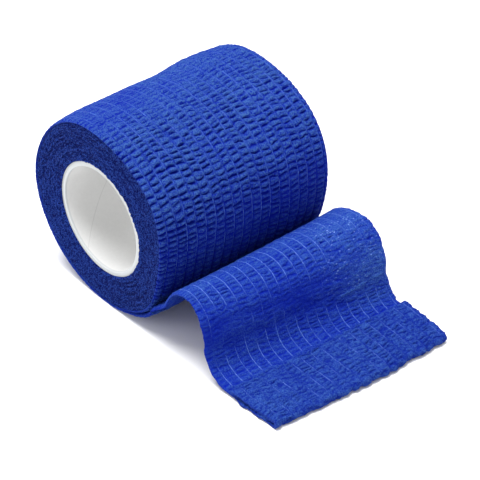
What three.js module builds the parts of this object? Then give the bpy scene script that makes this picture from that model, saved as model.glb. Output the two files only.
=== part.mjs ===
// A roll of self-clinging elastic bandage, part unrolled: a band of crinkled cloth wound on a white tube,
// with its loose end rising in a hump, lying flat on the table and folded back over itself as a tab.
// Millimetres, Z up. The roll's axis runs along X, the loose end runs towards -Y, and the origin is on the
// table under the middle of the roll. Angles round the roll are in degrees, from its back over its top.
import * as THREE from 'three';

const { clamp, degToRad, lerp, radToDeg, smoothstep } = THREE.MathUtils;

// Driving sizes of the roll
const BAND_WIDTH = 50;
const ROLL_RADIUS = 23.7;
const AXIS_HEIGHT = 23.45;
const TUBE_RADIUS = 14.4;
const TUBE_WALL = 1.3;
const TUBE_RECESS = 0.35;
const CLOTH_THICKNESS = 1;
const EDGE_ROUNDING = 0.7;
const CLEARANCE = 0.35;

// The cloth has sagged a little round the tube, so the tube sits off the middle of the winding.
const TUBE_SHIFT = { y: -0.5, z: -0.5 };

// The outermost turn works loose under the front of the roll, from where it starts to where it leaves. The
// step there is as high as the cloth and its clearance, and its face takes up stepAngle of the turn.
const LOOSE_TURN = { starts: 250, leaves: 222, height: CLOTH_THICKNESS + CLEARANCE, stepAngle: 0.6 };

// How far each end of the roll is out of round: the number of lobes, their height, and the angle of a crest.
const NEAR_RIM = [
  { lobes: 2, height: 0.25, crest: 109 },
  { lobes: 3, height: 0.4, crest: 8 },
  { lobes: 4, height: 0.4, crest: 58 },
  { lobes: 5, height: 0.2, crest: 5 },
];
const FAR_RIM = [
  { lobes: 2, height: 0.7, crest: 31 },
  { lobes: 3, height: 0.55, crest: 23 },
  { lobes: 4, height: 0.15, crest: 39 },
  { lobes: 5, height: 0.25, crest: 8 },
];

// The roll swells and narrows along its width: the place along its axis, and the height of the swell.
const SWELLS = [
  { x: -25, height: 0 },
  { x: -19, height: 0.35 },
  { x: -12, height: 0.3 },
  { x: -4, height: 0.15 },
  { x: 6, height: -0.15 },
  { x: 14, height: 0.4 },
  { x: 25, height: -0.2 },
];

// The middle of the loose end's thickness along its two edges, from the roll to the cut. The last stretch is
// folded back over itself as a tab, which lies on the cloth below and ends at the cut.
const FOLDS = [
  { place: 'toe', nearX: -25.2, nearY: -21.1, nearZ: 9.6, farX: 24.8, farY: -20.6, farZ: 9.2 },
  { place: 'flank', nearX: -25.2, nearY: -23.9, nearZ: 11.8, farX: 24.8, farY: -23.1, farZ: 12.1 },
  { place: 'upper flank', nearX: -25.2, nearY: -25.6, nearZ: 14.8, farX: 24.8, farY: -25.2, farZ: 15.1 },
  { place: 'shoulder', nearX: -25.2, nearY: -27.1, nearZ: 17.1, farX: 24.8, farY: -27.9, farZ: 17.7 },
  { place: 'crest', nearX: -25.2, nearY: -29.9, nearZ: 18.6, farX: 24.8, farY: -32.8, farZ: 19.7 },
  { place: 'brow', nearX: -25.2, nearY: -33.3, nearZ: 18.2, farX: 24.8, farY: -37.5, farZ: 19.3 },
  { place: 'upper face', nearX: -25.2, nearY: -36.2, nearZ: 15.9, farX: 24.8, farY: -41.0, farZ: 16.5 },
  { place: 'face', nearX: -25.2, nearY: -37.7, nearZ: 11.5, farX: 24.8, farY: -43.1, farZ: 12.0 },
  { place: 'lower face', nearX: -25.2, nearY: -38.3, nearZ: 7.0, farX: 24.8, farY: -44.5, farZ: 7.3 },
  { place: 'foot', nearX: -25.2, nearY: -40.2, nearZ: 3.2, farX: 24.8, farY: -46.2, farZ: 4.0 },
  { place: 'trough', nearX: -25.1, nearY: -43.7, nearZ: 1.3, farX: 24.9, farY: -48.3, farZ: 2.4 },
  { place: 'flat', nearX: -25.0, nearY: -49.0, nearZ: 0.5, farX: 25.2, farY: -51.5, farZ: 1.75 },
  { place: 'flat end', nearX: -24.7, nearY: -55.5, nearZ: 0.5, farX: 25.3, farY: -57.5, farZ: 0.95 },
  { place: 'fold starts', nearX: -24.5, nearY: -60.35, nearZ: 0.5, farX: 24.9, farY: -63.0, farZ: 0.5 },
  { place: 'fold, low', nearX: -24.5, nearY: -60.81, nearZ: 0.69, farX: 24.9, farY: -63.46, farZ: 0.69 },
  { place: 'fold', nearX: -24.5, nearY: -61.0, nearZ: 1.15, farX: 24.9, farY: -63.65, farZ: 1.15 },
  { place: 'fold, high', nearX: -24.5, nearY: -60.81, nearZ: 1.61, farX: 24.9, farY: -63.46, farZ: 1.61 },
  { place: 'fold ends', nearX: -24.5, nearY: -60.35, nearZ: 1.8, farX: 24.9, farY: -63.0, farZ: 1.8 },
  { place: 'tab', nearX: -24.8, nearY: -56.0, nearZ: 1.8, farX: 25.4, farY: -58.0, farZ: 2.25 },
  { place: 'tab, upper', nearX: -25.0, nearY: -51.5, nearZ: 1.8, farX: 25.4, farY: -54.4, farZ: 2.7 },
  { place: 'cut', nearX: -25.0, nearY: -47.2, nearZ: 2.1, farX: 25.2, farY: -50.2, farZ: 3.25 },
];

// Between its edges the cloth stands off the straight line from edge to edge: the hump sags, the fold bows
// out, and so does the cut. Each comes and goes along the loose end, from 0 at the roll to 1 at the cut, and
// the cloth follows the roll's own form up to FOLLOWS_ROLL.
const BOWS = [
  { place: 'hump', axis: 'z', size: 0.4, from: 0, full: 0.13, easesFrom: 0.27, to: 0.47 },
  { place: 'fold', axis: 'y', size: 0.9, from: 0.52, full: 0.62, easesFrom: 0.81, to: 0.9 },
  { place: 'cut', axis: 'y', size: 0.8, from: 0.86, full: 1, easesFrom: 1, to: 1 },
];
const FOLLOWS_ROLL = 0.2;

// How finely each surface is divided
const TUBE_STEPS = 72;
const WINDING_STEPS = 120;
const WINDING_RINGS = 12;
const LOOSE_END_STEPS = 63;
const LOOSE_END_STRIPS = 12;

const HALF_WIDTH = BAND_WIDTH / 2;
const WINDING_BORE = TUBE_RADIUS + CLEARANCE;

// Sum of the lobes of one end at an angle.
function lobeHeight(rim, angle) {
  return rim.reduce((sum, row) => sum + row.height * Math.cos(row.lobes * degToRad(angle - row.crest)), 0);
}

// Height of the swells at a place along the axis, easing from each row to the next.
function swellHeight(x) {
  let height = SWELLS[0].height;
  for (let row = 1; row < SWELLS.length; row += 1) {
    const step = SWELLS[row].height - SWELLS[row - 1].height;
    height += step * smoothstep(x, SWELLS[row - 1].x, SWELLS[row].x);
  }
  return height;
}

// Radius of the wound cloth without its loose turn.
function woundRadius(angle, x) {
  const along = clamp(x / BAND_WIDTH + 0.5, 0, 1);
  const outOfRound = lerp(lobeHeight(NEAR_RIM, angle), lobeHeight(FAR_RIM, angle), along);
  return ROLL_RADIUS + outOfRound + swellHeight(x);
}

// Height of the loose turn above that radius.
function looseTurnHeight(angle) {
  return LOOSE_TURN.height * (1 - smoothstep(angle, LOOSE_TURN.leaves, LOOSE_TURN.starts));
}

// A point round the roll, pressed flat where it would go below the table.
function pointRoundRoll(x, angle, radius, shift = { y: 0, z: 0 }) {
  const y = shift.y + radius * Math.cos(degToRad(angle));
  const z = AXIS_HEIGHT + shift.z + radius * Math.sin(degToRad(angle));
  return new THREE.Vector3(x, y, Math.max(z, 0));
}

// The tube is turned on its own axis, then laid along X.
function makeTube() {
  const half = HALF_WIDTH - TUBE_RECESS;
  const bore = TUBE_RADIUS - TUBE_WALL;
  const profile = [[bore, -half], [TUBE_RADIUS, -half], [TUBE_RADIUS, half], [bore, half], [bore, -half]];
  const geometry = new THREE.LatheGeometry(profile.map(([r, x]) => new THREE.Vector2(r, x)), TUBE_STEPS);
  return geometry.rotateZ(-Math.PI / 2);
}

// The winding's section as a closed loop: its share of the way from bore to outside, and its place along X.
function windingProfile() {
  const shoulder = 1 - EDGE_ROUNDING / (ROLL_RADIUS - WINDING_BORE);
  const straight = HALF_WIDTH - EDGE_ROUNDING;
  const outside = [];
  for (let ring = 0; ring <= WINDING_RINGS; ring += 1) {
    outside.push([1, lerp(straight, -straight, ring / WINDING_RINGS)]);
  }
  return [
    [0, HALF_WIDTH],
    [shoulder, HALF_WIDTH],
    ...outside,
    [shoulder, -HALF_WIDTH],
    [0, -HALF_WIDTH],
    [0, HALF_WIDTH],
  ];
}

// The winding is turned from that profile, then each column of points is moved onto the sagged outline. The
// first column is where the cloth leaves the roll, and the last one closes the step of the loose turn.
function makeWinding() {
  const profile = windingProfile();
  const turned = profile.map(([share, x]) => new THREE.Vector2(lerp(WINDING_BORE, ROLL_RADIUS, share), x));
  const geometry = new THREE.LatheGeometry(turned, WINDING_STEPS);
  const position = geometry.attributes.position;
  const sweep = 360 - LOOSE_TURN.stepAngle;
  for (let index = 0; index < position.count; index += 1) {
    const column = Math.floor(index / profile.length) % WINDING_STEPS;
    const [share, x] = profile[index % profile.length];
    const angle = LOOSE_TURN.leaves - (sweep * column) / (WINDING_STEPS - 1);
    const loose = column === 0 ? 0 : looseTurnHeight(angle + 360);
    const radius = lerp(WINDING_BORE, woundRadius(angle, x) + loose, share);
    const shift = { y: TUBE_SHIFT.y * (1 - share), z: TUBE_SHIFT.z * (1 - share) };
    const point = pointRoundRoll(x, angle, radius, shift);
    position.setXYZ(index, point.x, point.y, point.z);
  }
  return geometry;
}

// Where the middle of the loose end starts, clear of the loose turn's step.
function startOfLooseEnd(x) {
  const angle = LOOSE_TURN.leaves - radToDeg(CLEARANCE / ROLL_RADIUS);
  return pointRoundRoll(x, angle, woundRadius(angle, x) + CLEARANCE + CLOTH_THICKNESS / 2);
}

// One edge of the loose end as a smooth curve through the folds.
function edgeCurve(side) {
  const points = FOLDS.map((row) => new THREE.Vector3(row[`${side}X`], row[`${side}Y`], row[`${side}Z`]));
  return new THREE.CatmullRomCurve3([startOfLooseEnd(points[0].x), ...points]);
}

// The loose end is a flat strip laid between its two edge curves, with its thickness square to the cloth.
function makeLooseEnd() {
  const nearEdge = edgeCurve('near');
  const farEdge = edgeCurve('far');

  const middleOfCloth = (along, across) => {
    const point = nearEdge.getPoint(along).lerp(farEdge.getPoint(along), across);
    const start = nearEdge.getPoint(0).lerp(farEdge.getPoint(0), across);
    const offRoll = startOfLooseEnd(start.x).sub(start);
    point.addScaledVector(offRoll, 1 - smoothstep(along, 0, FOLLOWS_ROLL));
    for (const { axis, size, from, full, easesFrom, to } of BOWS) {
      const share = smoothstep(along, from, full) * (1 - smoothstep(along, easesFrom, to));
      point[axis] -= 4 * across * (1 - across) * size * share;
    }
    return point;
  };

  const geometry = new THREE.BoxGeometry(1, 1, CLOTH_THICKNESS, LOOSE_END_STRIPS, LOOSE_END_STEPS);
  const position = geometry.attributes.position;
  const reach = 0.1 / LOOSE_END_STEPS;
  for (let index = 0; index < position.count; index += 1) {
    const across = position.getX(index) + 0.5;
    const along = 0.5 - position.getY(index);
    const behind = middleOfCloth(Math.max(along - reach, 0), across);
    const lengthways = middleOfCloth(Math.min(along + reach, 1), across).sub(behind);
    const crossways = middleOfCloth(along, 1).sub(middleOfCloth(along, 0));
    const upwards = new THREE.Vector3().crossVectors(lengthways, crossways).normalize();
    const point = middleOfCloth(along, across).addScaledVector(upwards, position.getZ(index));
    position.setXYZ(index, point.x, point.y, Math.max(point.z, 0));
  }
  return geometry;
}

const cloth = { color: 0x2447b4, roughness: 0.9, metalness: 0 };
const paper = { color: 0xe9e9e6, roughness: 0.6, metalness: 0 };

function addPiece(group, name, geometry, finish) {
  const piece = new THREE.Mesh(geometry, new THREE.MeshStandardMaterial(finish));
  piece.name = name;
  group.add(piece);
  return piece;
}

const roll = new THREE.Group();
const tube = addPiece(roll, 'core_tube', makeTube(), paper);
tube.position.set(0, TUBE_SHIFT.y, AXIS_HEIGHT + TUBE_SHIFT.z);
addPiece(roll, 'winding', makeWinding(), cloth);
addPiece(roll, 'loose_end', makeLooseEnd(), cloth);

export default roll;
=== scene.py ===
import math

import bpy
import numpy as np
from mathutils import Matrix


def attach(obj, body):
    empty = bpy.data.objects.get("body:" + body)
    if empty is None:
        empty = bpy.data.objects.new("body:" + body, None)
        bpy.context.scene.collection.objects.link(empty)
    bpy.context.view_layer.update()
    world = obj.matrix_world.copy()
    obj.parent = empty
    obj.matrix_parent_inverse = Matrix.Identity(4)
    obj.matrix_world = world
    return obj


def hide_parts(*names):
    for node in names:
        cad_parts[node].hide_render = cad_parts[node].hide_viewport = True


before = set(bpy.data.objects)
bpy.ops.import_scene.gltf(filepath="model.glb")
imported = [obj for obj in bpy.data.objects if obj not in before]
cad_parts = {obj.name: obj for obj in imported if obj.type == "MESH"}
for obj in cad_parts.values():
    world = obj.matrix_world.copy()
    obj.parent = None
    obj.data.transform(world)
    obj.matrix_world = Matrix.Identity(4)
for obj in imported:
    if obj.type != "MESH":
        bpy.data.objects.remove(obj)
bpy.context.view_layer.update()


# The studio: a plain white table under one wide soft light from above, with a weaker one from the left.
# The camera stands off the near end of the roll, above it and in front, on a long lens.
camera_place = (-0.26895, -0.33359, 0.32732)
camera_elevation, camera_azimuth = 36.99, -40.69
sensor_width, focal_length = 36, 168.55
clip_near, clip_far = 0.01, 20
light_width = 0.5
lights = [("top", (-0.08, 0.10, 0.98), 14), ("left", (-0.85, 0.28, 0.45), 1.6)]
sky_strength = 0.84
half_table, table_top, table_white = 1500, -0.05, (0.88, 0.88, 0.88, 1)

lens = bpy.data.cameras.new("camera")
lens.sensor_width, lens.lens = sensor_width, focal_length
lens.clip_start, lens.clip_end = clip_near, clip_far
camera = bpy.data.objects.new("camera", lens)
camera.location = camera_place
camera.rotation_euler = (math.radians(90 - camera_elevation), 0, math.radians(camera_azimuth))
bpy.context.scene.collection.objects.link(camera)
bpy.context.scene.camera = camera
bpy.context.scene.view_settings.view_transform = "Standard"

for light_name, place, power in lights:
    lamp = bpy.data.lights.new(light_name, "AREA")
    lamp.shape, lamp.size, lamp.energy = "SQUARE", light_width, power
    holder = bpy.data.objects.new(light_name, lamp)
    holder.location = place
    tilt = math.acos(place[2] / math.hypot(*place))
    holder.rotation_euler = (tilt, 0, math.atan2(place[0], -place[1]))
    bpy.context.scene.collection.objects.link(holder)

sky = bpy.data.worlds.new("sky")
sky.use_nodes = True
sky.node_tree.nodes["Background"].inputs["Color"].default_value = (1, 1, 1, 1)
sky.node_tree.nodes["Background"].inputs["Strength"].default_value = sky_strength
bpy.context.scene.world = sky


class Value:
    """One output socket of a finish's node tree. Sums, products and the like on it add the Math nodes."""

    def __init__(self, finish, socket):
        self.finish, self.socket = finish, socket

    def maths(self, operation, *terms):
        """A Math node on the terms alone: this value is one of them only where it is named."""
        return self.finish.node("ShaderNodeMath", {"operation": operation}, dict(enumerate(terms)))

    def __add__(self, other):
        return self.maths("ADD", self, other)

    def __radd__(self, other):
        return self.maths("ADD", other, self)

    def __sub__(self, other):
        return self.maths("SUBTRACT", self, other)

    def __rsub__(self, other):
        return self.maths("SUBTRACT", other, self)

    def __mul__(self, other):
        return self.maths("MULTIPLY", self, other)

    def __rmul__(self, other):
        return self.maths("MULTIPLY", other, self)

    def __truediv__(self, other):
        return self.maths("DIVIDE", self, other)

    def __abs__(self):
        return self.maths("ABSOLUTE", self)

    def eased(self, low, high):
        """0 below low, 1 above high, and 3t^2 - 2t^3 of the share t between them."""
        settings = {"interpolation_type": "SMOOTHSTEP"}
        values = {"Value": self, "From Min": low, "From Max": high}
        return self.finish.node("ShaderNodeMapRange", settings, values)


class Finish:
    """A material: its node tree, its Principled shader, and the ways to add to them."""

    def __init__(self, name, **sockets):
        self.material = bpy.data.materials.new(name)
        self.material.use_nodes = True
        self.tree = self.material.node_tree
        self.shader = self.tree.nodes["Principled BSDF"]
        for socket, value in sockets.items():
            label = socket.replace("_", " ").title().replace("Ior", "IOR")
            self.shader.inputs[label].default_value = value

    def node(self, kind, settings=None, values=None, out=0):
        """Adds a node, makes its settings, then gives its sockets their values or links."""
        made = self.tree.nodes.new(kind)
        for setting, value in (settings or {}).items():
            setattr(made, setting, value)
        for socket, value in (values or {}).items():
            if isinstance(value, Value):
                self.tree.links.new(value.socket, made.inputs[socket])
            else:
                made.inputs[socket].default_value = value
        return Value(self, made.outputs[out])

    def feed(self, **links):
        """Links what varies over the surface to the shader."""
        for socket, value in links.items():
            self.tree.links.new(value.socket, self.shader.inputs[socket.replace("_", " ")])

    def millimetres(self):
        """The object's own coordinates in millimetres."""
        place = self.node("ShaderNodeTexCoord", out="Object")
        return self.node("ShaderNodeMapping", None, {"Vector": place, "Scale": (1000, 1000, 1000)})

    def noise(self, place, scale, detail=2.0, roughness=0.5):
        """Soft chance numbers about a half, as many to the millimetre as scale says."""
        values = {"Vector": place, "Scale": scale, "Detail": detail, "Roughness": roughness}
        return self.node("ShaderNodeTexNoise", None, values)

    def attribute(self, name):
        """A number that the mesh itself carries, 0 where it has none of that name."""
        return self.node("ShaderNodeAttribute", {"attribute_name": name}, out="Fac")

    def mix(self, share, first, second):
        """From the first colour to the second by that share."""
        values = {"Factor": share, 6: first, 7: second}
        return self.node("ShaderNodeMix", {"data_type": "RGBA"}, values, out=2)

    def bump(self, height, distance, strength):
        """Fine relief of that height, in metres for a height of 1."""
        values = {"Height": height, "Distance": distance, "Strength": strength}
        return self.node("ShaderNodeBump", None, values)


def add_piece(name, points, faces, finish, smooth_angle=60, **attributes):
    """A mesh at its place in the shared frame, from points in millimetres and arrays of faces, one array for
    each number of corners. Each attribute is one number for each point, which the material can read."""
    mesh = bpy.data.meshes.new(name)
    points = np.asarray(points, float).reshape(-1, 3) / 1000
    counts = np.concatenate([np.full(len(f), f.shape[1]) for f in faces])
    corners = np.concatenate([f.ravel() for f in faces])
    mesh.vertices.add(len(points))
    mesh.vertices.foreach_set("co", points.ravel())
    mesh.loops.add(len(corners))
    mesh.loops.foreach_set("vertex_index", corners.astype(np.int32))
    mesh.polygons.add(len(counts))
    mesh.polygons.foreach_set("loop_start", (np.cumsum(counts) - counts).astype(np.int32))
    mesh.update(calc_edges=True)
    mesh.validate()
    for attribute, numbers in attributes.items():
        layer = mesh.attributes.new(attribute, "FLOAT", "POINT")
        layer.data.foreach_set("value", np.asarray(numbers, np.float32).ravel())
    mesh.polygons.foreach_set("use_smooth", np.ones(len(counts), bool))
    mesh.set_sharp_from_angle(angle=math.radians(smooth_angle))
    mesh.materials.append(finish.material)
    piece = bpy.data.objects.new(name, mesh)
    bpy.context.scene.collection.objects.link(piece)
    return piece


table_finish = Finish("white_table", base_color=table_white, roughness=0.6)
grain = table_finish.noise(table_finish.millimetres(), 0.02)
table_finish.feed(Roughness=0.55 + 0.1 * grain)
table_corners = half_table * np.array([(-1, -1), (1, -1), (1, 1), (-1, 1)])
table_points = np.column_stack([table_corners, np.full(4, table_top)])
table = add_piece("table", table_points, [np.arange(4)[None]], table_finish)


# The tube: a plain white paper tube, wound on a slant so that a fine seam runs round its bore. The cloth is
# wound on it, and its ends stand a little inside the cloth's. Its bore is painted darker towards the open
# ends and paler deep inside, painted light that evens out the shade that falls deep in the bore.
axis_height = 23.45
tube_middle = (-0.5, axis_height - 0.5)
tube_outer, tube_wall, tube_half, lip = 14.4, 1.3, 24.65, 0.25
tube_steps, lip_steps = 160, 5
bore_round, seam_lead, seam_turn = 82, 74.3, 0.3525
# The bore's paper runs from the paler white deep inside to the greyer white at the open ends: painted light
# and shade that even out the shade deep in the bore.
seam_fade, painted_light_fade, cut_fade = (0.05, 0.25), (0, 23), (24.0, 24.3)
bore_white, end_white = (0.90, 0.90, 0.895, 1), (0.62, 0.62, 0.615, 1)
seam_grey, cut_paper = (0.3, 0.3, 0.3, 1), (0.50, 0.52, 0.53, 1)


def loop_faces(stations, loop, closed_path=False):
    """Faces of a closed loop of points carried along a path: point j of station i has the number i * loop + j,
    and a face joins it with the next point round the loop and with the same two of the next station."""
    i, j = np.meshgrid(np.arange(stations - (not closed_path)), np.arange(loop), indexing="ij")
    onward, aside = (i + 1) % stations, (j + 1) % loop
    corners = [i * loop + j, onward * loop + j, onward * loop + aside, i * loop + aside]
    return np.stack(corners, -1).reshape(-1, 4)


def lathe(profile, steps, middle):
    """Carries a profile of (radius, x) rows round the axis through middle: radius cos a is added to its y and
    radius sin a to its z."""
    turn = np.linspace(0, 2 * math.pi, steps, endpoint=False)[:, None]
    radius, x = profile[:, 0][None], profile[:, 1][None]
    y, z = middle[0] + radius * np.cos(turn), middle[1] + radius * np.sin(turn)
    return np.stack([x + 0 * turn, y, z], -1)


quarter = np.linspace(0, math.pi / 2, lip_steps)
from_side, from_end = lip * (1 - np.sin(quarter)), lip * (1 - np.cos(quarter))
inner_corner = np.stack([tube_outer - tube_wall + from_side, tube_half - from_end], 1)
outer_corner = np.stack([tube_outer - from_end, tube_half - from_side], 1)
far_lip = np.concatenate([inner_corner[::-1], outer_corner])
tube_profile = np.concatenate([far_lip, far_lip[::-1] * (1, -1)])

paper = Finish("white_paper", base_color=end_white, roughness=0.5, ior=1.35)
on_paper = paper.millimetres()
fibres = paper.noise(on_paper, 1.4, 5.0, 0.6)
clouds = paper.noise(on_paper, 0.12)
x, y, z = (paper.node("ShaderNodeSeparateXYZ", None, {"Vector": on_paper}, out=n) for n in range(3))
around = x.maths("ARCTAN2", z - tube_middle[1], y - tube_middle[0]) / (2 * math.pi)
off_seam = abs(x.maths("FRACT", around - x / seam_lead + seam_turn) - 0.5) * bore_round
seamed = 0.22 * (1 - off_seam.eased(*seam_fade))
# Painted light: the bore's paper is paler deep inside and darker towards the open ends; the fibre and cloud
# noise is the paper's own grain.
grain_and_painted_light = 0.15 * (0.5 * fibres + 0.5 * clouds).eased(0.3, 0.7) + 0.85 * abs(x).eased(*painted_light_fade)
bore_colour = paper.mix(seamed, paper.mix(grain_and_painted_light, bore_white, end_white), seam_grey)
paper.feed(
    Base_Color=paper.mix(abs(x).eased(*cut_fade), bore_colour, cut_paper),
    Roughness=0.45 + 0.15 * fibres,
    Normal=paper.bump(fibres, 0.00002, 0.3),
)
tube_faces = loop_faces(tube_steps, len(tube_profile), closed_path=True)[:, ::-1]
tube = add_piece("paper_tube", lathe(tube_profile, tube_steps, tube_middle), [tube_faces], paper)
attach(tube, "root")
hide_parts("core_tube")


# The wound cloth: one band of thin crinkled cloth wound on the tube in eighteen turns, whose cut edges make
# the grainy end faces. It clings to itself, so nothing else holds it, and it has sagged a little round the
# tube.
band_half, turn_half = 25.0, 24.85
roll_radius, cloth_thick = 23.7, 0.8
turns, turn_stations = 18, 500
turn_starts, turn_leaves = 250.0, 222.0
mean_radius, crinkle_length, tube_slack, layer_overlap = 19, 0.6, 0.05, 1.10
# The cut edges' blues are darker than the skin's: painted shade for the shade among their rough cut fibres.
edge_dark, edge_light = (0.0004, 0.0040, 0.096, 1), (0.021, 0.060, 0.35, 1)
# The deeper blue for doubled cloth is painted shade: where the tab lies on a second layer, less light shines
# through.
doubled_dark, speck_blue = (0.0002, 0.0085, 0.25, 1), (0.18, 0.29, 0.72, 1)
# A rim's lobes, each with its number round the rim, its height and the angle of a peak, and the swells
# along the roll, each with its place and its height.
near_rim = [(2, 0.25, 109), (3, 0.4, 8), (4, 0.4, 58), (5, 0.2, 5)]
far_rim = [(2, 0.7, 31), (3, 0.55, 23), (4, 0.15, 39), (5, 0.25, 8)]
swells = np.array([(-25, 0), (-19, 0.35), (-12, 0.3), (-4, 0.15), (6, -0.15), (14, 0.4), (25, -0.2)])


def eased(value, low, high):
    """0 below low, 1 above high, and 3t^2 - 2t^3 of the share t between them."""
    share = np.clip((value - low) / (high - low), 0, 1)
    return share * share * (3 - 2 * share)


def ripple(seed, u, v):
    """Smooth chance numbers from -1 to 1, new for each seed: one at each whole u and v, and between them the
    four nearest, mixed by the eased share of the way."""
    size = 512
    table = np.random.default_rng(seed).uniform(-1, 1, (size, size))
    u, v = np.broadcast_arrays(u, v)
    i, j = np.floor(u).astype(int), np.floor(v).astype(int)
    s, t = eased(u - i, 0, 1), eased(v - j, 0, 1)
    i0, i1, j0, j1 = i % size, (i + 1) % size, j % size, (j + 1) % size
    before = table[i0, j0] * (1 - s) + table[i1, j0] * s
    after = table[i0, j1] * (1 - s) + table[i1, j1] * s
    return before * (1 - t) + after * t


def arc(angle, radius):
    """Length of an arc: its angle in degrees, times pi / 180, times its radius."""
    return angle * math.pi / 180 * radius


def lobes(rim, angle):
    """A rim's uneven roundness: the sum of height times cos(number times the angle from the peak)."""
    return sum(height * np.cos(np.radians(number * (angle - peak))) for number, height, peak in rim)


def wound_radius(angle, x):
    """Radius of the wound cloth: round, plus the lobes of the two rims, each by the share of the way to it,
    plus the swells, eased from each to the next."""
    share = np.clip(x / (2 * band_half) + 0.5, 0, 1)
    swell = sum((b[1] - a[1]) * eased(x, a[0], b[0]) for a, b in zip(swells, swells[1:]))
    return roll_radius + lobes(near_rim, angle) * (1 - share) + lobes(far_rim, angle) * share + swell


def round_roll(x, angle, radius, shift=0.0):
    """A point round the roll: radius cos a and radius sin a from a middle that lies the share shift of the way
    from the roll's to the sagged tube's, and never below the table."""
    y = shift * tube_middle[0] + radius * np.cos(np.radians(angle))
    z = axis_height + shift * (tube_middle[1] - axis_height) + radius * np.sin(np.radians(angle))
    return np.stack(np.broadcast_arrays(x, y, np.maximum(z, 0.0)), -1)


def end_faces(stations, loop):
    """The two faces that close a loop's path: the first loop's points in order, the last one's in reverse."""
    return [np.arange(loop)[None], (stations - 1) * loop + np.arange(loop)[None, ::-1]]


def cloth_finish(name, dark, light, grain_size, bump_depth, mottling=1.7):
    """Matt crinkled cloth, from a dark to a light blue by its mesh's paleness times 0.88 plus what its fibres
    and tufts add; the paleness carries painted light and shade. The dark is another where the mesh says
    doubled, painted shade where less light shines through two layers, and bright fibres show where it says
    specked."""
    cloth = Finish(name, base_color=light, roughness=0.8, ior=1.15)
    place = cloth.millimetres()
    fibre = cloth.noise(place, grain_size, 6.0, 0.7)
    tuft = cloth.noise(place, grain_size * 0.45, 3.0, 0.6)
    mottled = mottling * (fibre.eased(0.40, 0.60) - 0.5) + 0.20 * tuft.eased(0.35, 0.65) + 0.88
    shade = cloth.attribute("pale") * mottled
    streaked = cloth.node("ShaderNodeMapping", None, {"Vector": place, "Scale": (0.8, 1.7, 1.7)})
    cells = {"Vector": streaked, "Scale": 1.0, "Randomness": 1.0}
    off_speck = cloth.node("ShaderNodeTexVoronoi", None, cells)
    specks = cloth.attribute("specked") * tuft.eased(0.40, 0.58) * (1 - off_speck.eased(0.14, 0.30))
    deep = cloth.mix(cloth.attribute("doubled"), dark, doubled_dark)
    cloth.feed(
        Base_Color=cloth.mix(specks, cloth.mix(shade, deep, light), speck_blue),
        Roughness=0.75 + 0.2 * fibre,
        Normal=cloth.bump(fibre, bump_depth, 1.0),
    )
    return cloth


travel = np.linspace(0, 360 * turns, turns * turn_stations)[:, None]
turn_angle = turn_starts - travel
turn_number = np.minimum(np.floor(travel / 360), turns - 1)
rise = eased(travel - 360 * turn_number, 0, turn_starts - turn_leaves)
wound_share = np.where(turn_number == 0, 0.5, turn_number - 0.5 + rise) / turns
wave = arc(travel, mean_radius) / crinkle_length
crinkled = 0.19 * ripple(11, wave, turn_number * 0.8 + 0.3)
crinkled = crinkled + 0.07 * ripple(12, wave * 2.3, turn_number + 0.5)
edge_stand = 0.10 * ripple(13, travel / 25, turn_number * 1.0) + 0.17 * ripple(14, wave, turn_number * 1.0)
edge_stand = edge_stand + 0.14 * ripple(15, travel / 360, 0.5)
pitch = (roll_radius - cloth_thick - tube_outer - tube_slack) / turns
# The band's section, eight points round it: which edge each is at, its place in the thickness, and how far
# the rounding of the cut edge takes it inwards.
side = np.array([-1, -1, -1, -1, 1, 1, 1, 1])[None]
layer = np.array([-0.5, -0.2, 0.2, 0.5, 0.5, 0.2, -0.2, -0.5])[None]
rounding = np.array([0.12, 0, 0, 0.12, 0.12, 0, 0, 0.12])[None]
turn_x = side * (turn_half + edge_stand - rounding)
inmost, outmost = tube_outer + tube_slack, wound_radius(turn_angle, side * band_half) - cloth_thick
turn_radius = inmost * (1 - wound_share) + outmost * wound_share
turn_radius = turn_radius + crinkled * np.sin(math.pi * wound_share) ** 0.3
turn_points = round_roll(turn_x, turn_angle, turn_radius + layer * pitch * layer_overlap, 1 - wound_share)
turn_faces = [loop_faces(len(travel), side.shape[1])[:, ::-1], *end_faces(len(travel), side.shape[1])]
edge_cloth = cloth_finish("cut_edges", edge_dark, edge_light, 2.8, 0.0009, 3.0)
# Painted light and shade: each turn's cut edge is paler where it stands out and darker where it is set back.
edge_painted_shading = 0.44 + 1.6 * (edge_stand + 0 * turn_x)
wound = add_piece("wound_turns", turn_points, turn_faces, edge_cloth, pale=edge_painted_shading)
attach(wound, "root")
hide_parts("winding")


# The outer turn: the same band's outermost turn, which the eye sees as the roll's skin. Elastic threads run
# round it, and the cloth between them is gathered into rows of small pillows with deep short creases.
first_thread, thread_pitch, thread_count = 1.9, 2.755, 18
row_pitch, skin_thick, middle_lane = 1.5, 0.47, 8
end_lift, skin_sink, rim_drop, overrun = 0.55, 0.03, 0.30, 0.8
cloth_dark, cloth_light = (0.0002, 0.0078, 0.322, 1), (0.045, 0.121, 0.388, 1)
inner_pale = 0.3
# The turn's stations in degrees: coarse steps where its start is hidden, fine ones up the front, over the top
# and down the back, and then a number of even ones under the roll to its end.
hidden_to, shown_to, coarse_step, fine_step, last_stations = 26, 222, 0.75, 0.48, 222
# Places across the band, counted in threads: the near edge, the channels between the threads, the far edge.
channel_cuts = np.array([0, 0.12, 0.26, 0.42, 0.58, 0.74, 0.88])
lane = np.concatenate([
    [-0.69, -0.64, -0.52, -0.36, -0.2, -0.07],
    (np.arange(thread_count - 1)[:, None] + channel_cuts).ravel(),
    [17, 17.07, 17.18, 17.3, 17.4, 17.45],
])
lanes = lane[None]
near_side, far_side, which_side = lanes < middle_lane, lanes > middle_lane, np.sign(lanes - middle_lane)
to_rim = np.minimum(lane - lane[0], lane[-1] - lane)[None] * thread_pitch


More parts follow.
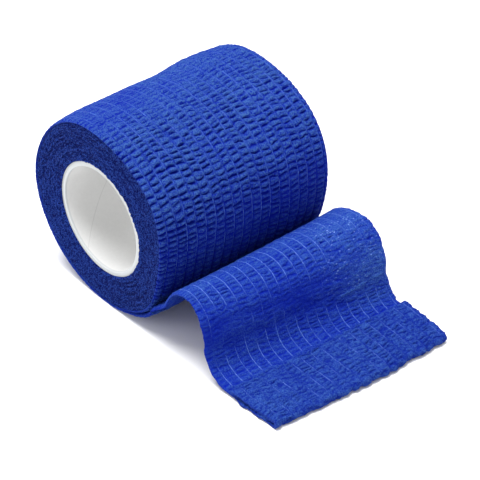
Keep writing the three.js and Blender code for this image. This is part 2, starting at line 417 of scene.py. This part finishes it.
def near_edges(width):
    """1 at the band's cut edges, and exp(-(d / width)^2) at the distance d from them."""
    return np.exp(-(to_rim / width) ** 2)


def lane_x(lane, length):
    """Place across the band of a lane: the first thread's, plus the lane times the threads' pitch, plus their
    slow wander."""
    return first_thread - band_half + lane * thread_pitch + 0.13 * ripple(21, lane * 0.8, length / 7)


def gathers(lane, row, unrest=1.0):
    """The form of the gathered cloth: pillows between the threads, parted crosswise by short creases. Gives
    the height for creases 1 deep, and the share of a crease at each point. Each channel's rows of creases
    drift on their own a little, and unrest shifts them more. A crease is a pit with its own place, tilt,
    bend, reach, width and depth, whose section is (1 - d^2)^2 of the distance d, and which narrows like a
    lens to both ends. A finer row of short puckers of the same section crosses them here and there."""
    channels, rows = 64, 1024
    chance = np.random.default_rng(31).uniform(0, 1, (7, channels, rows))
    places, tilts, bends, sizes, strengths, sides, reaches = chance
    channel = np.floor(lane).astype(int)
    u = lane - channel
    drifted = row + 0.30 * ripple(32, lane * 0.45, row / 6)
    drifted = drifted + 0.30 * unrest * ripple(33, channel * 2.0, row / 4)
    shaken = 0.10 * ripple(39, lane * 4.1, row * 1.7) + 0.10 * ripple(40, lane * 2.3, row * 0.9)
    drifted = drifted + unrest * shaken
    trough, nearest = 0.0, 1.0
    for step in (-1, 0, 1):
        k = np.floor(drifted).astype(int) + step
        cell = (channel % channels, k % rows)
        reach = 0.36 + 0.30 * reaches[cell] ** 2
        lens_share = np.clip(1 - ((u - 0.5 - 0.18 * (sides[cell] - 0.5)) / reach) ** 2, 0, 1)
        centre = k + 0.5 + 0.34 * (places[cell] - 0.5) + 0.40 * (tilts[cell] - 0.5) * (u - 0.5)
        centre = centre + 1.6 * (bends[cell] - 0.4) * (0.1 - (u - 0.5) ** 2)
        half = (0.19 + 0.17 * sizes[cell] ** 2) * (0.6 + 0.4 * lens_share)
        nearest = np.minimum(nearest, np.abs(drifted - centre))
        d = np.clip(np.abs(drifted - centre) / half, 0, 1)
        strength = np.where(strengths[cell] < 0.1, 0.2, 0.40 + 0.60 * strengths[cell])
        trough = np.maximum(trough, (1 - d * d) ** 2 * strength * lens_share ** 0.6)
    fine_row = 2.3 * row + 0.6 * ripple(53, lane * 1.3, row * 0.7)
    k = np.floor(fine_row).astype(int)
    shown = eased(strengths[(channel + 17) % channels, k % rows], 0.45, 0.9)
    shown = shown * np.clip(1 - ((u - 0.3 - 0.4 * sides[cell]) / 0.33) ** 2, 0, 1)
    pucker = 0.40 * shown * (1 - (2 * np.abs(fine_row - k - 0.5)) ** 2) ** 2
    crown = np.clip(4 * u * (1 - u), 0, 1) ** 0.5
    bulge = 1 - (1 - np.minimum(nearest / 0.52, 1)) ** 2
    height = crown * (0.10 + 0.75 * bulge) - np.maximum(0.85 * trough, pucker)
    return height, np.maximum(trough, 0.7 * pucker)


def wrinkles(lane, length):
    """Fine chance wrinkles in millimetres: two ripples added, each finer across the band than along it."""
    return 0.045 * ripple(34, lane * 4.5, length * 2.1) + 0.035 * ripple(35, lane * 2.2, length * 0.9)


def over_the_top(angle):
    """The same angle counted from -150 to 210: 0 at the back, 90 on top, 180 at the front."""
    return (angle + 150) % 360 - 150


def roll_depth(angle, lane, length):
    """How deep the creases are: shallow and patchy over the top of the roll, deep down its front, where the
    patches are weaker and the near end is deepest, and smoothed over the top of the near end."""
    around = over_the_top(angle)
    front = eased(around, 75, 118)
    patches = 0.5 + 0.5 * ripple(36, lane / 2.2, length / 6)
    smooth = (1 - eased(lane, 3, 11)) * (1 - eased(around, 82, 112)) * eased(around, -10, 30)
    depth = (0.66 + 0.14 * (1 - eased(lane, 3, 9))) * front + (1 - front) * (0.18 + 0.40 * patches)
    return (depth - 0.14 * (1 - patches) * front) * (1 - 0.6 * smooth)


total_angle = turn_starts - (turn_leaves - 360) + overrun
start_stations = np.arange(0, hidden_to, coarse_step)
shown_stations = np.arange(hidden_to, shown_to, fine_step)
end_stations = np.linspace(shown_to, total_angle, last_stations)
outer_travel = np.concatenate([start_stations, shown_stations, end_stations])[:, None]
outer_angle = turn_starts - outer_travel
outer_length = arc(outer_travel, roll_radius)
down_front = over_the_top(outer_angle)
starting = eased(outer_travel, 0, turn_starts - turn_leaves)
leaving = eased(outer_travel, 360, 360 + turn_starts - turn_leaves)
stand = -cloth_thick * (1 - starting) + (cloth_thick + end_lift) * leaving

form, trough = gathers(lanes, outer_length / row_pitch)
relief = form * roll_depth(outer_angle, lanes, outer_length) * (0.2 + 0.8 * starting)
relief = relief * (1 - 0.6 * near_edges(0.8) * (1 - eased(down_front, 40, 90) * near_side))
outer_x = lane_x(lanes, outer_length)
skin_radius = wound_radius(outer_angle, outer_x) + stand + relief + wrinkles(lanes, outer_length) - skin_sink
skin_radius = skin_radius - rim_drop * near_edges(0.28)
outer_x = outer_x + np.sign(outer_x) * 0.4 * relief * near_edges(0.5)

# The turn's inner face: its points across the band, and how much of the thickness lies above each.
inner_x = np.array([25.0, 24.6, 12, 0, -12, -24.6, -25.0])[None]
inner_drop = np.array([0.5, 1.0, 1.0, 1.0, 1.0, 1.0, 0.5])[None]
at_cut = np.abs(inner_x) > 24.9
inner_x = inner_x + np.sign(inner_x) * at_cut * (0.12 + 0.06 * ripple(37, outer_length / 0.8, 0.5))
thick = skin_thick + (cloth_thick - skin_thick) * np.maximum(starting, leaving)
inner_radius = wound_radius(outer_angle, inner_x) + stand - thick * inner_drop
loop_x = np.concatenate([outer_x, inner_x + 0 * outer_travel], 1)
skin_points = round_roll(loop_x, outer_angle, np.concatenate([skin_radius, inner_radius], 1))

# Painted light and shade on the skin: paler over the top and darker down the front and under the roll, as the
# light from above falls, paler on the raised pillows as a painted highlight, and darker in the creases as
# painted shade. The ripple is tone that differs at random.
painted_top_light = 0.39 - 0.13 * eased(down_front, 95, 140) - 0.26 * eased(down_front, 140, 180)
pale = painted_top_light * (1 + 0.25 * ripple(38, lanes / 2, outer_length / 5)) + 0.95 * relief
pale = pale - (0.33 + 0.06 * eased(down_front, 80, 110)) * trough
pale = pale * (1 - 0.3 * eased(down_front, 140, 175))
pale = np.concatenate([np.clip(pale, 0, 1), 0 * inner_radius + inner_pale], 1)
cloth = cloth_finish("crinkled_cloth", cloth_dark, cloth_light, 3.2, 0.0007)
skin_faces = [loop_faces(*loop_x.shape)[:, ::-1], *end_faces(*loop_x.shape)]
skin = add_piece("outer_turn", skin_points, skin_faces, cloth, pale=pale)
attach(skin, "root")
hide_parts("winding")


# The loose end: the outer turn goes on off the roll, up over a hump, down to the table, and is folded back
# over itself at its end as a tab. Over the hump it is drawn smooth, and at the tab it is fully gathered.
clearance, half_sheet, tab_pitch = 0.35, 0.5, 1.15
loose_stations, length_samples, loose_mottling = 375, 6001, 1.3
# The loose end's blues are brighter than the roll's: painted light for the light that shines through its
# single layer.
loose_dark, loose_light = (0.0002, 0.0095, 0.330, 1), (0.042, 0.118, 0.41, 1)
# Lines across the band, each as the place of its near end and of its far end: up the hump's flank, over it,
# down its face to the trough, along the table, round the fold and back over the tab to the cut.
folds = np.array([
    (-25.2, -21.1, 9.6, 24.8, -20.6, 9.2), (-25.2, -23.9, 11.8, 24.8, -23.1, 12.1),
    (-25.2, -25.6, 14.8, 24.8, -25.2, 15.1), (-25.2, -27.1, 17.1, 24.8, -27.9, 17.7),
    (-25.2, -29.9, 18.6, 24.8, -32.8, 19.7), (-25.2, -33.3, 18.2, 24.8, -37.5, 19.3),
    (-25.2, -36.2, 15.9, 24.8, -41.0, 16.5), (-25.2, -37.7, 11.5, 24.8, -43.1, 12.0),
    (-25.2, -38.3, 7.0, 24.8, -44.5, 7.3), (-25.2, -40.2, 3.2, 24.8, -46.2, 4.0),
    (-25.1, -43.7, 1.3, 24.9, -48.3, 2.4), (-25.0, -49.0, 0.5, 25.2, -51.5, 1.75),
    (-24.7, -55.5, 0.5, 25.3, -57.5, 0.95), (-24.5, -60.35, 0.5, 24.9, -63.0, 0.5),
    (-24.5, -60.81, 0.69, 24.9, -63.46, 0.69), (-24.5, -61.0, 1.15, 24.9, -63.65, 1.15),
    (-24.5, -60.81, 1.61, 24.9, -63.46, 1.61), (-24.5, -60.35, 1.8, 24.9, -63.0, 1.8),
    (-24.8, -56.0, 1.8, 25.4, -58.0, 2.25), (-25.0, -51.5, 1.8, 25.4, -54.4, 2.7),
    (-25.0, -47.2, 2.1, 25.2, -50.2, 3.25),
])
# Bows of the band's middle off those lines: the axis, the size, and where along the band each begins, is
# full, eases and ends.
bows = [(2, 0.4, 0, 0.13, 0.27, 0.47), (1, 0.9, 0.52, 0.62, 0.81, 0.9), (1, 0.8, 0.86, 1, 1.01, 1.02)]
# Lengths along the loose end: where the cut of the tab lies on it, and where it turns round the fold.
tab_lies, fold_turns = (43, 46), (57, 60)
# For each length along it: the depth of its creases, that of its fine wrinkles, how far its upper and its
# lower face stand off its middle, and its paleness, painted light and shade: paler over the hump, darker
# where it leaves the roll and down the face into the trough.
zones = np.array([
    (0, 0.40, 1.0, 0.45, 0.35, 0.18), (8, 0.34, 1.0, 0.45, 0.30, 0.33),
    (13, 0.16, 1.5, 0.47, 0.15, 0.42), (18, 0.18, 1.8, 0.47, 0.15, 0.41),
    (21, 0.38, 1.8, 0.47, 0.15, 0.28), (25, 0.28, 1.8, 0.47, 0.15, 0.20),
    (29, 0.12, 1.6, 0.47, 0.15, 0.15), (34, 0.12, 1.5, 0.45, 0.2, 0.17),
    (38, 0.18, 1.5, 0.45, 0.4, 0.22), (43.5, 0.20, 1.8, 0.45, 0.45, 0.24),
    (45.5, 0.46, 2.4, 0.45, 0.45, 0.28), (58, 0.46, 2.4, 0.45, 0.45, 0.28),
    (61, 0.46, 2.4, 0.40, 0.47, 0.27), (90, 0.46, 2.4, 0.35, 0.47, 0.25),
])


def stretch(value, begins, full, eases, ends):
    """0 outside begins and ends, 1 from full to eases, and eased between."""
    return eased(value, begins, full) * (1 - eased(value, eases, ends))


def smooth_path(rows, along):
    """A smooth line through the rows, each span a cubic whose end slopes weigh the neighbouring rows by the
    square root of their distance. along runs from 0 to 1, one equal share to each span."""
    padded = np.vstack([2 * rows[0] - rows[1], rows, 2 * rows[-1] - rows[-2]])
    spans = len(rows) - 1
    place = np.clip(along, 0, 1) * spans
    i = np.minimum(place.astype(int), spans - 1)
    t = (place - i)[:, None]
    p0, p1, p2, p3 = (padded[i + n] for n in range(4))
    a, b, c = (np.sqrt(np.linalg.norm(q - p, axis=1))[:, None] for p, q in ((p0, p1), (p1, p2), (p2, p3)))
    leave = ((p1 - p0) / a - (p2 - p0) / (a + b) + (p2 - p1) / b) * b
    reach = ((p2 - p1) / b - (p3 - p1) / (b + c) + (p3 - p2) / c) * b
    squared, cubed = 3 * (p2 - p1) - 2 * leave - reach, 2 * (p1 - p2) + leave + reach
    return p1 + leave * t + squared * t ** 2 + cubed * t ** 3


def off_the_roll(x):
    """Where the middle of the loose end's thickness leaves the roll: beside the angle at which it leaves, by
    the clearance along the arc, and out from the wound radius by the clearance and half the thickness."""
    angle = turn_leaves - math.degrees(clearance / roll_radius)
    return round_roll(x, angle, wound_radius(angle, x) + clearance + half_sheet)


near_rows = np.vstack([off_the_roll(folds[:1, 0]), folds[:, :3]])
far_rows = np.vstack([off_the_roll(folds[:1, 3]), folds[:, 3:]])


def middle_of_cloth(along, across):
    """The middle of the loose end's thickness: straight from its near edge's line to its far edge's, plus
    the roll's own form at its start, less each bow, 4 a (1 - a) of its size at the share a of the width."""
    near, far = smooth_path(near_rows, along), smooth_path(far_rows, along)
    point = near[:, None] * (1 - across[None, :, None]) + far[:, None] * across[None, :, None]
    start = near_rows[0] * (1 - across[:, None]) + far_rows[0] * across[:, None]
    follow = (off_the_roll(start[:, 0]) - start)[None]
    point = point + follow * (1 - eased(along, 0, 0.2))[:, None, None]
    for axis, size, *reach in bows:
        point[..., axis] -= size * stretch(along, *reach)[:, None] * 4 * (across * (1 - across))[None]
    return point


along_fine = np.linspace(0, 1, length_samples)
middle_line = middle_of_cloth(along_fine, np.array([0.5]))[:, 0]
reached = np.concatenate([[0], np.cumsum(np.linalg.norm(np.diff(middle_line, axis=0), axis=1))])
cut_length = reached[-1]
loose_length = np.linspace(0, cut_length, loose_stations)
across = (first_thread + lane * thread_pitch) / (2 * band_half)
middle = middle_of_cloth(np.interp(loose_length, reached, along_fine), across)
lengthways, crossways = np.gradient(middle, loose_length, axis=0), np.gradient(middle, across, axis=1)
upwards = np.cross(lengthways, crossways)
upwards /= np.linalg.norm(upwards, axis=-1, keepdims=True)
out_edge = crossways / np.linalg.norm(crossways, axis=-1, keepdims=True)

# The gathers go on from the roll's, closer together, and less ordered over the hump and on the tab. A pale
# crease slants over the far side of the hump's face, which is specked above it.
run, width_share = loose_length[:, None], across[None]
end_length = arc(total_angle, roll_radius)
band_length = end_length + run
creased, fineness, above, below, paleness = (np.interp(run, zones[:, 0], zones[:, n]) for n in range(1, 6))
pitch_there = row_pitch + (tab_pitch - row_pitch) * eased(loose_length, 2, 16)
rows_passed = np.concatenate([[0], np.cumsum(np.diff(loose_length) / pitch_there[1:])])[:, None]
on_tab = eased(run, *tab_lies)
unrest = 1 + eased(run, 8, 14) + on_tab
form, trough = gathers(lanes, end_length / row_pitch + rows_passed, unrest)
depth = creased * (1 + 0.3 * ripple(41, lanes / 3, run / 6))
slanting = 0.13 * ripple(46, lanes / 2.2 + run / 5, run / 2.6 - lanes / 2) * stretch(run, 20, 26, 36, 42)
off_crease = run - 33.9 + 5.5 * (width_share - 0.86)
pale_crease = stretch(width_share, 0.70, 0.78, 0.95, 0.99) * np.exp(-(off_crease / 0.4) ** 2)
pale_crease = pale_crease * (0.8 + 0.5 * ripple(48, lanes * 3, 0.5))
specked = eased(width_share, 0.56, 0.80) * stretch(run, 14, 20, 31, 37)
specked = specked * (0.7 + 0.5 * ripple(54, lanes / 1.6, run / 4))
heights = form * depth + slanting + 0.22 * pale_crease + fineness * wrinkles(lanes, band_length)
heights = heights * (1 - 0.55 * near_edges(0.8))

# The cut edges are scalloped, most at the start and on the far side, and the lower layer's near edge stands
# out from under the tab. The tab's front fold wavers, and its near edge droops on the layer below.
wander = lane_x(lanes, band_length) - (first_thread - band_half + lanes * thread_pitch)
scalloped = 0.10 + 0.16 * far_side + 0.42 * (1 - eased(run, 6, 14))
scallop = 0.12 * heights + scalloped * ripple(42, which_side * 3, run / 1.1)
scallop = scallop + 0.2 * ripple(47, which_side * 3, run / 3.5)
under_tab = near_side * stretch(run, 46, 50, 55, 59)
scallop = scallop + under_tab * (0.22 + 0.30 * ripple(55, 0.5, run / 1.3))
middle = middle + out_edge * (wander + which_side * scallop * near_edges(0.8))[..., None]
at_fold = stretch(run, 50, 58, 62, 70)
waver = 0.20 * ripple(43, lanes * 0.7, run / 20) + 0.22 * ripple(44, lanes * 1.9, run / 20)
middle[..., 1] += at_fold * waver
droop = 0.14 + 0.18 * (1 - eased(run, 66, 69)) + 0.18 * ripple(56, 0.5, run / 1.7)
middle[..., 2] -= near_side * eased(run, 60.5, 63) * near_edges(1.6) * droop

turned_over = 1 - 2 * eased(run, *fold_turns)
shaped = heights * turned_over
rim_thin = 1 - (0.5 - 0.45 * stretch(run, *fold_turns, 66, 71)) * near_edges(0.3)
top = middle + upwards * (shaped + above * rim_thin)[..., None]
bottom = middle + upwards * (0.85 * shaped - below * rim_thin)[..., None]
loose_points = np.concatenate([top, bottom[:, ::-1]], 1)
loose_points[..., 2] = np.maximum(loose_points[..., 2], 0)
loop = loose_points.shape[1]
strip = np.arange(loop // 2 - 1)
cap = np.stack([strip, strip + 1, loop - 2 - strip, loop - 1 - strip], 1)
loose_faces = [loop_faces(loose_stations, loop), cap, (cap + (loose_stations - 1) * loop)[:, ::-1]]

# Painted light and shade on the loose end: paler towards the far side of the hump's face, paler on the raised
# pillows as a painted highlight, and darker in the creases as painted shade. It is also darker towards the far
# side of the tab, and the ripple is tone that differs at random.
painted_far_light = 0.24 * eased(width_share, 0.72, 0.95) * stretch(run, 23, 29, 37, 43)
mottled = 1 - 0.2 * eased(width_share, 0.55, 0.9) * on_tab + 0.2 * ripple(45, lanes / 2, run / 4)
mottled = paleness * mottled
mottled = mottled + 0.35 * pale_crease + 0.20 * specked + painted_far_light
pale_top = mottled + 0.7 * shaped - 0.28 * trough * (turned_over > 0)
pale_bottom = mottled - 0.7 * shaped - 0.28 * trough * (turned_over < 0)
# Painted shade: the tab is darker where it lies doubled and less light shines through it.
doubled = eased(run, 43, 45)
pale = np.clip(np.concatenate([pale_top, pale_bottom[:, ::-1]], 1), 0.05 + 0.07 * doubled, 1)
single_cloth = cloth_finish("single_cloth", loose_dark, loose_light, 3.2, 0.0006, loose_mottling)
specked = np.concatenate([specked, 0 * specked], 1)
marks = {"pale": pale, "specked": specked, "doubled": doubled + 0 * pale}
loose = add_piece("loose_cloth", loose_points, loose_faces, single_cloth, **marks)
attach(loose, "root")
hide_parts("loose_end")


# The elastic threads: fine pale strands between the cloth's two webs, stretched when the band is made. They
# show as raised lines wherever the cloth is drawn smooth, and sink between the pillows where it is gathered.
thread_radius, thread_sides = 0.09, 6
bare_dark, bare_light = (0.03, 0.085, 0.40, 1), (0.10, 0.195, 0.58, 1)
covered_dark, covered_light = (0.010, 0.045, 0.30, 1), (0.045, 0.12, 0.48, 1)
# How far the loose end's threads sink into its face at each length along it.
sunk = np.array([
    (0, 0.09), (12.5, 0.09), (14.5, 0), (22, 0.01), (26, 0.085), (30, 0.10), (34, 0.10), (37, 0.055),
    (43.2, 0.03), (43.8, 0.12), (60, 0.12), (64, 0.075), (90, 0.070),
])


def strands(centres, outward, sideways):
    """Round strands about lines of centres: each ring is its centre plus the radius times cos a outward and
    sin a sideways."""
    a = np.linspace(0, 2 * math.pi, thread_sides, endpoint=False)
    ring = np.cos(a)[:, None] * outward[..., None, :] + np.sin(a)[:, None] * sideways[..., None, :]
    return centres[..., None, :] + thread_radius * ring


def add_strands(name, rings, finish):
    """One piece of all the strands, from rings in the order station, strand, point round the strand. Each
    strand's faces are the first one's with its share of the points added to their numbers."""
    rings = rings.transpose(1, 0, 2, 3)
    count, stations, sides, _ = rings.shape
    shift = (np.arange(count) * stations * sides)[:, None, None]
    one_strand = [loop_faces(stations, sides), *end_faces(stations, sides)]
    faces = [(f[None] + shift).reshape(-1, f.shape[1]) for f in one_strand]
    piece = add_piece(name, rings, faces, finish)
    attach(piece, "root")


def thread_finish(name, dark, light):
    """Slightly glossy elastic: from dark, where the cloth's fibres cover it, to light, by soft chance numbers
    eased from 0.3 to 0.7."""
    elastic = Finish(name, base_color=light, roughness=0.5, ior=1.3)
    beads = elastic.noise(elastic.millimetres(), 1.2, 3.0)
    elastic.feed(Base_Color=elastic.mix(beads.eased(0.3, 0.7), dark, light), Roughness=0.4 + 0.2 * beads)
    return elastic


bare_elastic = thread_finish("elastic_thread", bare_dark, bare_light)
covered_elastic = thread_finish("covered_thread", covered_dark, covered_light)
thread_columns = np.searchsorted(lane, np.arange(thread_count) - 0.001)
threads = np.arange(thread_count)[None] * 1.0

seen = slice(4, -4, 2)
radians = np.radians(outer_angle[seen]) + 0 * threads
radial = np.stack([0 * radians, np.cos(radians), np.sin(radians)], -1)
towards_near_end = np.broadcast_to((-1.0, 0.0, 0.0), radial.shape)
level = -0.035 + 0.07 * ripple(51, threads, outer_length[seen] / 2.5)
centres = skin_points[seen][:, thread_columns] + radial * level[..., None]
centres[..., 2] = np.maximum(centres[..., 2], thread_radius)
add_strands("roll_threads", strands(centres, radial, towards_near_end), covered_elastic)

sink = np.interp(run, sunk[:, 0], sunk[:, 1]) - 0.03 * ripple(52, threads, run / 3)
sink = sink + 0.06 * eased(threads, 11.5, 13) * stretch(run, 15, 18, 34, 37)
normal, to_far_edge = upwards[:, thread_columns], out_edge[:, thread_columns]
for name, face, sign in (("loose_threads_top", top, 1), ("loose_threads_under", bottom, -1)):
    centres = face[:, thread_columns] - sign * normal * sink[..., None]
    centres[..., 2] = np.maximum(centres[..., 2], thread_radius)
    add_strands(name, strands(centres[1:-1], normal[1:-1], to_far_edge[1:-1]), bare_elastic)
